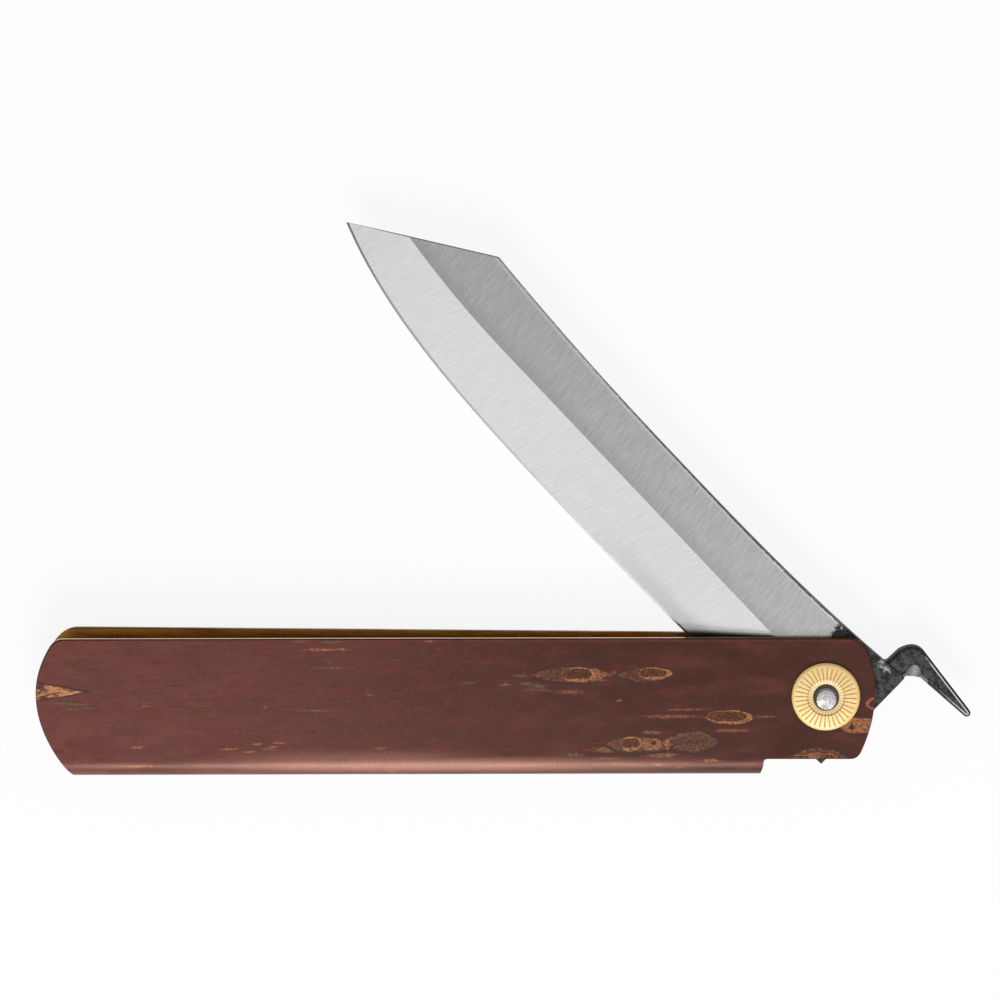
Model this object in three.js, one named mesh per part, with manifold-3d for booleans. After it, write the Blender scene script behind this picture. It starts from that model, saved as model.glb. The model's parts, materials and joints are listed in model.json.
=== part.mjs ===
// Folding pocket knife: a folded brass channel wrapped in cherry bark, a forged blade with a
// thumb lever on its tang, and one rivet through both walls with a stamped washer at each end.
// Millimetres, +Z up. The knife lies on its side, a little way open. X runs along the handle
// towards the pivot end, Y towards the channel's open edge, and the pivot axis is the Z axis.
// Z is 0 on the flat of the rear rivet head, which is the knife's lowest face.
import * as THREE from 'three';
import { mergeVertices } from 'three/addons/utils/BufferGeometryUtils.js';
import Module from 'manifold-3d';

const wasm = await Module();
wasm.setup();

// Handle: one brass sheet, folded along its lower edge
const handleLength = 120;
const handleHeight = 20.05;
const pivotFromEnd = 7.1;
const pivotFromOpenEdge = 8.4;
const sheetThickness = 0.8;
const foldRadius = 2.45; // outside radius of the two bends that make the fold
const bendShare = 0.9; // a bend takes no more of half the gap than this
const parallelLength = 21; // walls stay parallel this far from the pivot end
const tailSpread = 2.4; // how much further apart the walls are at the tail
const rearEdgeRise = 0.7; // the rear wall's open edge climbs by this much towards the tail
const tailPeakRise = 0.4; // the tail's furthest point, above the pivot axis
const tailTopSetback = 2.8;
const tailBottomSetback = 5.1;
const tailCornerRound = 1.2;
const rearTailTopSetback = 3.5;
const rearTailCornerRound = 2;
const earPeakRise = 0.2; // the pivot end's furthest point, above the pivot axis
const earTopSetback = 2.2;
const earBottomSetback = 2.4;
const earTopRound = 1.8;
const earBottomRound = 1;
const notchLength = 15.8; // the fold is cut away this far from the pivot end
const notchSlant = 0.3;
const notchRound = 0.7;

// Bark: one thin sheet glued round both walls and the fold
const barkThickness = 0.45;
const glueLine = 0.05;
const barkInset = 0.15; // the brass stands out past the bark's edges by this much

// Blade, measured from the pivot axis with the knife closed
const bladeThickness = 3;
const bladeTipThickness = 2.3;
const bladeSideClearance = 0.1;
const bladeReach = 96.1;
const tipDrop = 3.2;
const edgeDepth = 8.9;
const bellyLength = 50.4; // the curved part of the edge, from the tip
const heelRise = 1.65;
const spineHeight = 7.85; // where the hollow of the spine is lowest
const spineHollowAt = 43;
const spineTipRise = 1.2; // from the hollow to the clip's corner
const spineRootRise = 1.65; // from the hollow to the lever's root
const clipCornerAt = 77.6;
const grindHeight = 0.5;
const grindSweep = 1.4;
const grindSweepLength = 20.7;
const grindEndAt = 13;
const grindRunout = 4.5;
const edgeBevelWidth = 0.35;
const edgeBevelThickness = 0.3;
const edgeFlat = 0.1;

// Tang and thumb lever
const tangBottomReach = 7.05;
const tangTopReach = 6.1;
const leverThickness = 2.7;
const leverChamfer = 0.45;
const leverChamferShare = 0.42; // the chamfer takes no more of the tip's width than this
const leverRootAt = 2.7;
const leverRootDepth = 2.6; // how far the lever's solid runs into the tang
const leverHeight = 14.6;
const leverReach = 16.6;
const leverTipDrop = 1.1; // the arm's end lies this much below the hump
const leverTipWidth = 1.1;
const leverArmWidth = 3;
const leverHumpRadius = 2.5;
const leverHumpLean = 0.6; // how far past the root the hump's steep side leads
const leverCreaseRound = 0.6; // between the spine and the hump
const leverNotchReach = 1.55; // flat across the notch under the bend, along the arm
const leverNotchRise = 1.3; // and across the arm
const hollowRadius = 1.5; // round hollow ground into each side over the notch
const hollowReach = 1.8;
const hollowDepth = 0.75;
const restOpening = 46.6; // degrees from closed

// Pivot
const rivetDiameter = 3;
const rivetClearance = 0.08;
const rivetHeadDiameter = 3.75;
const rivetHeadHeight = 0.65;
const rivetFlatDiameter = 2.8;
const rivetFlatOffset = 0.3; // the hammered flat sits off the axis, away from the open edge
const rivetRimShare = 0.25; // part of the head's height that is upright
const rivetShoulderShare = 0.75; // part of the head's height below the shoulder
const washerDiameter = 9.75;
const washerSeat = 0.6; // washer's thickness under the rivet head
const washerCrown = 0.82;
const washerEdge = 0.42;
const washerEdgeBreak = 0.12;
const washerRim = 0.4; // plain rim outside the grooves
const washerRingDiameter = 5.4; // round step between the inner and outer grooves
const washerStep = 0.12; // drop from that step to the inner grooves
const washerSeatStep = 0.04; // rise from the rivet's seat to the inner grooves
const washerSeatMargin = 0.1;
const grooveCount = 36;
const grooveDepth = 0.13;
const grooveRamp = 0.16; // each groove fades out over this length
const innerGrooveDepth = 0.03;
const grooveShare = 0.42; // part of each pitch that the groove takes

// Derived places
const tailX = pivotFromEnd - handleLength;
const openY = pivotFromOpenEdge;
const foldY = openY - handleHeight;
const straightY = foldY + foldRadius;
const halfGap = bladeThickness / 2 + bladeSideClearance;
const stackHeight = sheetThickness + glueLine + barkThickness;
const barkFace = halfGap + stackHeight;
const seatHeight = barkFace + washerSeat;
const midZ = seatHeight + rivetHeadHeight;
const rivetRadius = rivetDiameter / 2;
const boreRadius = rivetRadius + rivetClearance;
const parallelX = pivotFromEnd - parallelLength;
const past = 3; // how far a cutting solid runs past what it cuts
const roundSegments = 48;
const bendSegments = 12;
const curveSegments = 16;
const bladeSegments = 44;
const tangSegments = 4;
const spineSegments = 24;
const leverSegments = 10;
const wheelSegments = 32;

// Solids for joining and cutting
function toSolid(geometry) {
  const bare = geometry.clone();
  bare.deleteAttribute('normal');
  bare.deleteAttribute('uv');
  const merged = mergeVertices(bare, 1e-4);
  return new wasm.Manifold(new wasm.Mesh({
    numProp: 3,
    vertProperties: new Float32Array(merged.attributes.position.array),
    triVerts: new Uint32Array(merged.index.array),
  }));
}

function toGeometry(solid) {
  const mesh = solid.getMesh();
  const geometry = new THREE.BufferGeometry();
  geometry.setAttribute('position', new THREE.BufferAttribute(mesh.vertProperties, 3));
  geometry.setIndex(new THREE.BufferAttribute(mesh.triVerts, 1));
  return geometry;
}

// Closed rings of points, all with the same count, joined in order and capped at both ends
function loft(rings) {
  const count = rings[0].length;
  const positions = rings.flat().flatMap((point) => point.toArray());
  const index = [];
  for (let ring = 0; ring + 1 < rings.length; ring += 1) {
    for (let side = 0; side < count; side += 1) {
      const a = ring * count + side;
      const b = ring * count + (side + 1) % count;
      index.push(a, b, a + count);
      index.push(b, b + count, a + count);
    }
  }
  const flat = rings[0].map((point) => new THREE.Vector2(point.y, point.z));
  const last = (rings.length - 1) * count;
  for (const [a, b, c] of THREE.ShapeUtils.triangulateShape(flat, [])) {
    index.push(a, c, b);
    index.push(last + a, last + b, last + c);
  }
  const geometry = new THREE.BufferGeometry();
  geometry.setAttribute('position', new THREE.Float32BufferAttribute(positions, 3));
  geometry.setIndex(index);
  return geometry;
}

// A side view in X and Y, made into a solid from one Z to another
function prism(shape, lowZ, highZ) {
  const geometry = new THREE.ExtrudeGeometry(shape, {
    depth: highZ - lowZ,
    bevelEnabled: false,
    curveSegments,
  });
  return geometry.translate(0, 0, lowZ);
}

function pivotBore(radius) {
  const bore = new THREE.CylinderGeometry(radius, radius, 4 * midZ, roundSegments);
  return toSolid(bore.rotateX(Math.PI / 2));
}

// Handle: the walls lean apart evenly from the parallel part to the tail
function wallSpread(x) {
  return tailSpread / 2 * Math.max(0, (parallelX - x) / (parallelX - tailX));
}

// One side of a folded section at some offset outside the gap: a wall and its bend
function sectionSide(x, offset, side) {
  const halfWidth = halfGap + wallSpread(x) + offset;
  const drop = foldRadius - stackHeight + offset;
  const bend = Math.min(drop, bendShare * halfWidth);
  const points = [new THREE.Vector3(x, openY + rearEdgeRise + past, side * halfWidth)];
  for (let step = 0; step <= bendSegments; step += 1) {
    const angle = Math.PI / 2 * step / bendSegments;
    const z = halfWidth - bend * (1 - Math.cos(angle));
    points.push(new THREE.Vector3(x, straightY - drop * Math.sin(angle), side * z));
  }
  return points;
}

// A folded section: down the outside, round the fold and back up the inside
function foldedSection(x, inner, outer) {
  return [
    ...sectionSide(x, outer, 1),
    ...sectionSide(x, outer, -1).reverse(),
    ...sectionSide(x, inner, -1),
    ...sectionSide(x, inner, 1).reverse(),
  ];
}

// A wall's side view, taken in by an inset: its open edge climbs towards the tail
function handleOutline(inset, edgeRise, topSetback, cornerRound) {
  const left = tailX + inset;
  const right = pivotFromEnd - inset;
  const top = openY - inset;
  const tailTop = top + edgeRise;
  const earBottom = straightY + inset;
  const notchX = pivotFromEnd - notchLength - inset;
  const fallen = (setback, y, peakY, endY) => setback * ((y - peakY) / (endY - peakY)) ** 2;
  const upperY = top - earTopRound;
  const upperX = right - fallen(earTopSetback, upperY, earPeakRise, top);
  const lowerY = earBottom + earBottomRound;
  const lowerX = right - fallen(earBottomSetback, lowerY, earPeakRise, earBottom);
  const tailUpperY = tailTop - cornerRound;
  const tailUpperX = left + fallen(topSetback, tailUpperY, tailPeakRise, tailTop);
  const shape = new THREE.Shape();
  shape.moveTo(left + topSetback + cornerRound, tailTop);
  shape.quadraticCurveTo(left + topSetback, tailTop, tailUpperX, tailUpperY);
  shape.quadraticCurveTo(left, (tailUpperY + tailPeakRise) / 2, left, tailPeakRise);
  shape.quadraticCurveTo(left, (foldY + tailPeakRise) / 2, left + tailBottomSetback, foldY);
  shape.lineTo(left + tailBottomSetback, foldY - past);
  shape.lineTo(notchX - notchSlant, foldY - past);
  shape.lineTo(notchX - notchSlant, foldY);
  shape.lineTo(notchX, earBottom - notchRound / 2);
  shape.quadraticCurveTo(notchX, earBottom, notchX + notchRound, earBottom);
  shape.lineTo(right - earBottomSetback - earBottomRound, earBottom);
  shape.quadraticCurveTo(right - earBottomSetback, earBottom, lowerX, lowerY);
  shape.quadraticCurveTo(right, (lowerY + earPeakRise) / 2, right, earPeakRise);
  shape.quadraticCurveTo(right, (upperY + earPeakRise) / 2, upperX, upperY);
  shape.quadraticCurveTo(right - earTopSetback, top, right - earTopSetback - earTopRound, top);
  shape.closePath();
  return shape;
}

// Both walls cut to their side views: the front one has a straight open edge
function handlePiece(inner, outer, inset) {
  const stations = [tailX - past, parallelX, pivotFromEnd + past];
  const folded = loft(stations.map((x) => foldedSection(x, inner, outer)));
  const reach = barkFace + tailSpread + past;
  const frontView = handleOutline(inset, 0, tailTopSetback, tailCornerRound);
  const rearView = handleOutline(inset, rearEdgeRise, rearTailTopSetback, rearTailCornerRound);
  const front = toSolid(prism(frontView, 0, reach));
  const rear = toSolid(prism(rearView, -reach, 0));
  const cut = toSolid(folded).intersect(front.add(rear));
  return cut.subtract(pivotBore(boreRadius));
}

function handleChannel() {
  return toGeometry(handlePiece(0, sheetThickness, 0));
}

function barkWrap() {
  return toGeometry(handlePiece(sheetThickness + glueLine, stackHeight, barkInset));
}

// Blade curves, as heights over X with the knife closed and the tip at -X
function edgeY(x) {
  const bellyX = bellyLength - bladeReach;
  if (x > bellyX) {
    return heelRise * ((x - bellyX) / (tangBottomReach - bellyX)) ** 2 - edgeDepth;
  }
  const along = (bellyX - x) / bellyLength;
  return (edgeDepth - tipDrop) * (along ** 2 + 2 * along ** 4) / 3 - edgeDepth;
}

function spineY(x) {
  const hollowX = -spineHollowAt;
  if (x < hollowX) {
    return spineHeight + spineTipRise * ((x - hollowX) / (clipCornerAt - spineHollowAt)) ** 2;
  }
  return spineHeight + spineRootRise * ((x - hollowX) / (leverRootAt - hollowX)) ** 3;
}

function grindY(x) {
  const sweepX = grindSweepLength - clipStartAt();
  const along = Math.max(0, (sweepX - x) / grindSweepLength);
  return grindHeight + grindSweep * along ** 2;
}

// Where the grind line runs out into the clip, on the straight line from tip to corner
function clipStartAt() {
  const share = (tipDrop + grindHeight + grindSweep) / (tipDrop + spineY(-clipCornerAt));
  return bladeReach - share * (bladeReach - clipCornerAt);
}

function halfThickness(x) {
  const along = Math.max(0, (-x - grindEndAt) / (bladeReach - grindEndAt));
  return (bladeThickness + (bladeTipThickness - bladeThickness) * along) / 2;
}

// Flat sides down to the grind line, then the bevel, a narrow edge bevel and the edge
function bladeSection(x) {
  const half = halfThickness(x);
  const runout = Math.min(1, Math.max(0, (x + grindEndAt) / grindRunout));
  const bevel = edgeBevelThickness / 2 + (half - edgeBevelThickness / 2) * runout;
  const edge = edgeFlat / 2 + (half - edgeFlat / 2) * runout;
  const topY = leverHeight + past;
  const heights = [topY, grindY(x), edgeY(x) + edgeBevelWidth, edgeY(x)];
  const widths = [half, half, bevel, edge];
  const front = heights.map((y, row) => new THREE.Vector3(x, y, widths[row]));
  const rear = heights.map((y, row) => new THREE.Vector3(x, y, -widths[row]));
  return [...front, ...rear.reverse()];
}

function bladeBar() {
  const stations = [];
  const tipX = -bladeReach - past;
  for (let step = 0; step <= bladeSegments; step += 1) {
    stations.push(tipX + (-grindEndAt - tipX) * step / bladeSegments);
  }
  const tangX = grindRunout - grindEndAt;
  for (let step = 0; step <= tangSegments; step += 1) {
    stations.push(tangX + (tangBottomReach + past - tangX) * step / tangSegments);
  }
  return toSolid(loft(stations.map(bladeSection)));
}

// Everything of the blade's side view but its edge, which the bar's own curve gives
function bladeOutline() {
  const cornerY = spineY(-clipCornerAt);
  const clipSlope = (cornerY + tipDrop) / (bladeReach - clipCornerAt);
  const lowY = -edgeDepth - past;
  const shape = new THREE.Shape();
  shape.moveTo(-bladeReach - past, lowY);
  shape.lineTo(tangBottomReach, lowY);
  shape.lineTo(tangBottomReach, heelRise - edgeDepth);
  shape.lineTo(tangTopReach, spineY(tangTopReach));
  for (let step = 0; step <= spineSegments; step += 1) {
    const x = leverRootAt - (leverRootAt + clipCornerAt) * step / spineSegments;
    shape.lineTo(x, spineY(x));
  }
  shape.lineTo(-bladeReach - past, -tipDrop - past * clipSlope);
  shape.closePath();
  return shape;
}

function leverOutline() {
  const creaseX = leverRootAt - leverCreaseRound;
  const creaseY = spineY(leverRootAt);
  const rootY = creaseY - leverRootDepth;
  const tipTopY = leverHeight - leverTipDrop;
  const elbowY = leverHeight - leverArmWidth;
  const humpX = leverRootAt + leverHumpRadius;
  const tipRound = leverTipWidth / 2;
  const tipX = leverReach - tipRound;
  const shape = new THREE.Shape();
  shape.moveTo(creaseX, rootY);
  shape.lineTo(creaseX, spineY(creaseX));
  shape.quadraticCurveTo(leverRootAt, creaseY, leverRootAt, creaseY + leverCreaseRound);
  shape.lineTo(leverRootAt, leverHeight - leverHumpRadius);
  shape.quadraticCurveTo(leverRootAt + leverHumpLean, leverHeight, humpX, leverHeight);
  shape.lineTo(tipX, tipTopY);
  shape.absarc(tipX, tipTopY - tipRound, tipRound, Math.PI / 2, -Math.PI / 2, true);
  shape.lineTo(tangTopReach + leverNotchReach, elbowY);
  shape.lineTo(tangTopReach, elbowY - leverNotchRise);
  shape.lineTo(tangTopReach, rootY);
  shape.closePath();
  return shape;
}

function leverSolid() {
  const chamfer = Math.min(leverChamfer, leverChamferShare * leverTipWidth);
  const depth = leverThickness - 2 * chamfer;
  const lever = new THREE.ExtrudeGeometry(leverOutline(), {
    depth,
    bevelEnabled: true,
    bevelThickness: chamfer,
    bevelSize: chamfer,
    bevelOffset: -chamfer,
    bevelSegments: 1,
    curveSegments: leverSegments,
  });
  return toSolid(lever.translate(0, 0, -depth / 2));
}

// What a round-nosed wheel takes from one side over the notch, running out on the face
function groundHollow(side) {
  const wheelLength = 4 * (hollowReach + hollowDepth);
  const wheel = new THREE.CylinderGeometry(hollowRadius, hollowRadius, wheelLength, wheelSegments);
  wheel.translate(0, 0, hollowRadius);
  wheel.rotateX(Math.atan2(hollowDepth, hollowReach));
  wheel.rotateY(side > 0 ? 0 : Math.PI);
  wheel.rotateZ(Math.atan2(leverNotchRise, leverNotchReach));
  const flatX = tangTopReach + leverNotchReach / 2;
  const flatY = leverHeight - leverArmWidth - leverNotchRise / 2;
  return toSolid(wheel.translate(flatX, flatY, side * (leverThickness / 2 - hollowDepth)));
}

function bladeForging() {
  const outline = toSolid(prism(bladeOutline(), -bladeThickness, bladeThickness));
  const forged = bladeBar().intersect(outline).add(leverSolid());
  const ground = forged.subtract(groundHollow(1)).subtract(groundHollow(-1));
  return toGeometry(ground.subtract(pivotBore(boreRadius)));
}

// Rivet: a shank with a hammered head at each end, each head's flat a little off the axis
function pivotRivet() {
  const headRadius = rivetHeadDiameter / 2;
  const flatRadius = rivetFlatDiameter / 2;
  const half = [
    [rivetRadius, seatHeight],
    [headRadius, seatHeight],
    [headRadius, seatHeight + rivetRimShare * rivetHeadHeight],
    [(headRadius + flatRadius) / 2, seatHeight + rivetShoulderShare * rivetHeadHeight],
    [flatRadius, midZ],
    [0, midZ],
  ];
  const mirrored = half.map(([radius, height]) => [radius, -height]).reverse();
  const profile = [...mirrored, ...half].map((point) => new THREE.Vector2(...point));
  const rivet = new THREE.LatheGeometry(profile, roundSegments).rotateX(Math.PI / 2);
  const position = rivet.attributes.position;
  for (let index = 0; index < position.count; index += 1) {
    const rise = Math.max(0, (Math.abs(position.getZ(index)) - seatHeight) / rivetHeadHeight);
    position.setY(index, position.getY(index) - rivetFlatOffset * rise);
  }
  return toGeometry(toSolid(rivet));
}

// Washer: rings of radius, height and groove depth, from the hole's lower edge round to it again
function washerRings() {
  const outer = washerDiameter / 2;
  const grooveOut = outer - washerRim;
  const grooveIn = washerRingDiameter / 2;
  const seatEdge = rivetHeadDiameter / 2;
  const fieldHeight = (radius) => {
    const away = (radius - grooveIn) / (outer - grooveIn);
    return washerCrown + (washerEdge - washerCrown) * away ** 2;
  };
  return [
    [boreRadius, 0, 0],
    [outer, 0, 0],
    [outer, washerEdge - washerEdgeBreak, 0],
    [outer - washerEdgeBreak, washerEdge, 0],
    [grooveOut, fieldHeight(grooveOut), 0],
    [grooveOut - grooveRamp, fieldHeight(grooveOut - grooveRamp), grooveDepth],
    [grooveIn + grooveRamp, fieldHeight(grooveIn + grooveRamp), grooveDepth],
    [grooveIn, washerCrown, 0],
    [grooveIn - grooveRamp / 2, washerCrown - washerStep, innerGrooveDepth],
    [seatEdge + washerSeatMargin, washerSeat + washerSeatStep, innerGrooveDepth],
    [seatEdge, washerSeat, 0],
    [boreRadius, washerSeat, 0],
  ];
}

function stampedWasher() {
  const rings = washerRings();
  const cuts = [[0, 0], [1 - grooveShare, 0], [1 - grooveShare / 2, 1]];
  const columns = grooveCount * cuts.length;
  const positions = [];
  for (let groove = 0; groove < grooveCount; groove += 1) {
    for (const [share, depthShare] of cuts) {
      const angle = 2 * Math.PI * (groove + share) / grooveCount;
      for (const [radius, height, depth] of rings) {
        const top = height - depth * depthShare;
        positions.push(radius * Math.cos(angle), radius * Math.sin(angle), top);
      }
    }
  }
  const index = [];
  for (let column = 0; column < columns; column += 1) {
    for (let row = 0; row < rings.length; row += 1) {
      const next = (row + 1) % rings.length;
      const here = column * rings.length;
      const there = (column + 1) % columns * rings.length;
      index.push(here + row, there + row, here + next);
      index.push(there + row, there + next, here + next);
    }
  }
  const geometry = new THREE.BufferGeometry();
  geometry.setAttribute('position', new THREE.Float32BufferAttribute(positions, 3));
  geometry.setIndex(index);
  return toGeometry(toSolid(geometry));
}

function finish(color, roughness, metalness) {
  return new THREE.MeshStandardMaterial({ color, roughness, metalness, flatShading: true });
}

function piece(name, geometry, material) {
  const mesh = new THREE.Mesh(geometry, material);
  mesh.name = name;
  return mesh;
}

const bark = finish(0x673f38, 0.45, 0);
const sheetBrass = finish(0x9a7136, 0.35, 1);
const washerBrass = finish(0xf0d28c, 0.3, 1);
const steel = finish(0xb8b9ba, 0.3, 1);
const rivetSteel = finish(0xcfcccb, 0.25, 1);

const handle = new THREE.Group();
handle.position.z = midZ;
handle.add(piece('handle_channel', handleChannel(), sheetBrass));
handle.add(piece('bark_wrap', barkWrap(), bark));
handle.add(piece('pivot_rivet', pivotRivet(), rivetSteel));

const washerFront = piece('washer_front', stampedWasher(), washerBrass);
washerFront.position.z = barkFace;
const washerRear = piece('washer_rear', stampedWasher(), washerBrass);
washerRear.rotation.x = Math.PI;
washerRear.position.z = -barkFace;
handle.add(washerFront, washerRear);

const blade = new THREE.Group();
blade.position.z = midZ;
blade.rotation.z = -THREE.MathUtils.degToRad(restOpening);
blade.add(piece('blade', bladeForging(), steel));

const knife = new THREE.Group();
knife.add(handle, blade);

export default knife;
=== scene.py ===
import json
import math

import bpy
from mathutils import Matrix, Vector

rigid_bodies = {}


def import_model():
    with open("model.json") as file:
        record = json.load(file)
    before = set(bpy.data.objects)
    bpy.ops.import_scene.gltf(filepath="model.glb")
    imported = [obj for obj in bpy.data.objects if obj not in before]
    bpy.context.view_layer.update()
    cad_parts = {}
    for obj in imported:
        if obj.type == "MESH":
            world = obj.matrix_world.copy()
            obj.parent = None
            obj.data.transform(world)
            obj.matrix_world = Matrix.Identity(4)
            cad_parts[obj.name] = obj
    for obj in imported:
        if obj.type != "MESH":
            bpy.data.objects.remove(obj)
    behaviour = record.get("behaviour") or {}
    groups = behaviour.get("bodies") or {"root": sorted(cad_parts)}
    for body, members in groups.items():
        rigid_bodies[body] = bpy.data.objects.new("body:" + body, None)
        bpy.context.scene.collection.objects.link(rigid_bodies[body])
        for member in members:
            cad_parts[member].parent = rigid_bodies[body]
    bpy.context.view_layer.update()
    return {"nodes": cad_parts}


for startup_object in list(bpy.data.objects):
    bpy.data.objects.remove(startup_object)

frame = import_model()
cad_nodes = frame["nodes"]

MM = 0.001

# Handle, in millimetres
MID_Z = 4.15  # middle of the gap between the walls
WALL_HALF = 2.73  # from there to the bark's face, with the taper carried on to the pivot
WALL_TAPER = 0.01212  # how much that grows in each millimetre towards the tail
FOLD_Y = -11.65
OPEN_Y = 8.4
BRASS_TAIL_X = (-84.0, -108.0)  # from here to there painted light brightens the brass
BESIDE_BLADE_X = (-21.0, -18.0)  # and here a painted shadow darkens the open edge, beside the blade

# Bark, in places along it and distances from the fold
BARK_REDDENS_X = (-98.0, -2.0)
BARK_PLAIN_X = (-45.0, -12.0)
# Painted highlight along the fold, and a fainter one beside it
PAINTED_HIGHLIGHT_X = (-80.0, -50.0, -40.0, 8.0)
PAINTED_HIGHLIGHT_FROM_FOLD = (0.3, 1.3, 1.9, 3.3)
FAINT_PAINTED_HIGHLIGHT_X = (-74.0, -56.0, -48.0, -28.0)
FAINT_PAINTED_HIGHLIGHT_FROM_FOLD = (1.9, 2.5, 2.5, 4.4)

# Washer
WASHER_RING_RADIUS = 2.7
WASHER_RADIUS = 4.875
GROOVE_COUNT = 36
GROOVE_MIDDLE = 0.79  # middle of a groove, as a share of the grooves' pitch

# Blade, in places on the folded blade
REST_OPENING = 46.6  # degrees from folded
GRIND_HEIGHT = 0.5  # line between the flat and the bevel
GRIND_SWEEP = 1.4
GRIND_SWEEP_LENGTH = 20.7
GRIND_SWEEP_X = -67.7
SPINE_HEIGHT = 7.85
SPINE_HOLLOW_X = -43.0
SPINE_TIP_LENGTH = 34.6
SPINE_TIP_RISE = 1.2
SPINE_ROOT_LENGTH = 45.7
SPINE_ROOT_RISE = 1.65
SPINE_HIGHLIGHT = (0.2, 0.28, 0.4, 0.6)  # painted highlight line, by how far it is below the spine
HEEL_X = (-44.0, -20.0)
HEEL_BELOW_GRIND = (-5.2, -8.2)
FORGED_X = (-3.8, -3.0)  # where the scale of the tang begins
LEVER_X = (-1.0, 1.0)
LEVER_ARM_X = (5.6, 6.6)
LEVER_ARM_Y = (12.2, 12.8)
LEVER_ARM_Z = (1.14, 1.24)  # from the blade's middle
LEVER_HOLLOW = (6.6, 11.4)
LEVER_HOLLOW_HALF = (2.2, 2.2)
LEVER_NECK = (2.7, 8.9)
LEVER_NECK_HALF = (1.7, 0.8)

# Edges: how far they are rounded, and the angles in degrees under which faces join smoothly
BLADE_EDGE_ROUND = 0.06
EDGE_ROUND_ANGLE = 32
SAME_CORNER = 0.002
BLADE_SMOOTH = 6
SHEET_SMOOTH = 30
RIVET_SMOOTH = 40

# Camera, looking down on the front from a little towards the open edge
CAMERA_TARGET = Vector((-46.58, 28.34, 7.05)) * MM
CAMERA_DISTANCE = 550 * MM
CAMERA_TILT = math.radians(7.5)
CAMERA_LENS = 139.4
CAMERA_SENSOR = 36
CAMERA_CLIP = 10 * MM

# Lamp beside the fold, and the floor
LAMP_PLACE = (-56, -424, 424)
LAMP_AIM = (-56, 0, 0)
LAMP_SIZE = (380, 300)
LAMP_RADIANCE = 7.5
FLOOR_SIZE = 40000 * MM
FLOOR_GLOW_SHARE = 0.88


def tone(red, green, blue):
    """A colour as a screen shows it, from 0 to 255, as the linear colour that a shader takes."""
    def linear(value):
        share = value / 255
        return share / 12.92 if share <= 0.04045 else ((share + 0.055) / 1.055) ** 2.4
    return (linear(red), linear(green), linear(blue), 1)


def grey(value):
    """A neutral tone."""
    return tone(value, value, value)


class Graph:
    """A tree of shader nodes, built with short calls. A value may be a number or a socket."""

    def __init__(self, tree):
        self.nodes = tree.nodes
        self.links = tree.links

    def feed(self, socket, value):
        if isinstance(value, bpy.types.NodeSocket):
            self.links.new(value, socket)
        else:
            socket.default_value = value

    def math(self, operation, *values):
        node = self.nodes.new("ShaderNodeMath")
        node.operation = operation
        for socket, value in zip(node.inputs, values):
            self.feed(socket, value)
        return node.outputs[0]

    def vector(self, operation, *values):
        node = self.nodes.new("ShaderNodeVectorMath")
        node.operation = operation
        for socket, value in zip(node.inputs, values):
            self.feed(socket, value)
        return node.outputs["Value" if operation == "LENGTH" else "Vector"]

    def scaled(self, vector, factors):
        return self.vector("MULTIPLY", vector, factors)

    def split(self, vector):
        node = self.nodes.new("ShaderNodeSeparateXYZ")
        self.feed(node.inputs[0], vector)
        return tuple(node.outputs)

    def joined(self, x, y, z=0.0):
        node = self.nodes.new("ShaderNodeCombineXYZ")
        for socket, value in zip(node.inputs, (x, y, z)):
            self.feed(socket, value)
        return node.outputs[0]

    def turned(self, vector, degrees):
        node = self.nodes.new("ShaderNodeVectorRotate")
        node.rotation_type = "Z_AXIS"
        self.feed(node.inputs["Vector"], vector)
        node.inputs["Angle"].default_value = math.radians(degrees)
        return node.outputs[0]

    def noise(self, vector, detail=3.0, roughness=0.55):
        node = self.nodes.new("ShaderNodeTexNoise")
        self.feed(node.inputs["Vector"], vector)
        node.inputs["Scale"].default_value = 1
        node.inputs["Detail"].default_value = detail
        node.inputs["Roughness"].default_value = roughness
        return node.outputs["Fac"]

    def wandering(self, vector, factors, amounts):
        """The vector, moved about by noise of that fineness, by up to half the amounts."""
        node = self.nodes.new("ShaderNodeTexNoise")
        self.feed(node.inputs["Vector"], self.scaled(vector, factors))
        node.inputs["Scale"].default_value = 1
        node.inputs["Detail"].default_value = 2
        centred = self.vector("SUBTRACT", node.outputs["Color"], (0.5, 0.5, 0.5))
        return self.vector("MULTIPLY_ADD", centred, amounts, vector)

    def rise(self, value, low, high, start=0.0, end=1.0):
        """A smooth change from start, where value is at low, to end, where it is at high."""
        node = self.nodes.new("ShaderNodeMapRange")
        node.interpolation_type = "SMOOTHSTEP"
        node.clamp = False
        for socket, number in zip(node.inputs, (value, low, high, start, end)):
            self.feed(socket, number)
        return node.outputs[0]

    def band(self, value, outside, edge, edge_end, outside_end):
        """1 between the edges, falling to 0 at the outsides."""
        return self.both(self.rise(value, outside, edge), self.rise(value, outside_end, edge_end))

    def mix(self, factor, first, second):
        node = self.nodes.new("ShaderNodeMix")
        node.data_type = "RGBA"
        self.feed(node.inputs["Factor"], factor)
        colours = [socket for socket in node.inputs if socket.type == "RGBA"]
        self.feed(colours[0], first)
        self.feed(colours[1], second)
        return next(socket for socket in node.outputs if socket.type == "RGBA")

    def ramp(self, value, stops):
        """A colour from a list of values, each with its colour."""
        node = self.nodes.new("ShaderNodeValToRGB")
        self.feed(node.inputs[0], value)
        elements = node.color_ramp.elements
        elements.remove(elements[1])
        for index, (position, colour) in enumerate(stops):
            element = elements[0] if index == 0 else elements.new(position)
            element.position = position
            element.color = colour
        return node.outputs[0]

    def add(self, first, second):
        return self.math("ADD", first, second)

    def both(self, first, second):
        return self.math("MULTIPLY", first, second)

    def either(self, first, second):
        return self.math("MAXIMUM", first, second)

    def blend(self, factor, first, second):
        """Like mix, for plain numbers."""
        return self.math("MULTIPLY_ADD", factor, self.math("SUBTRACT", second, first), first)


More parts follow.
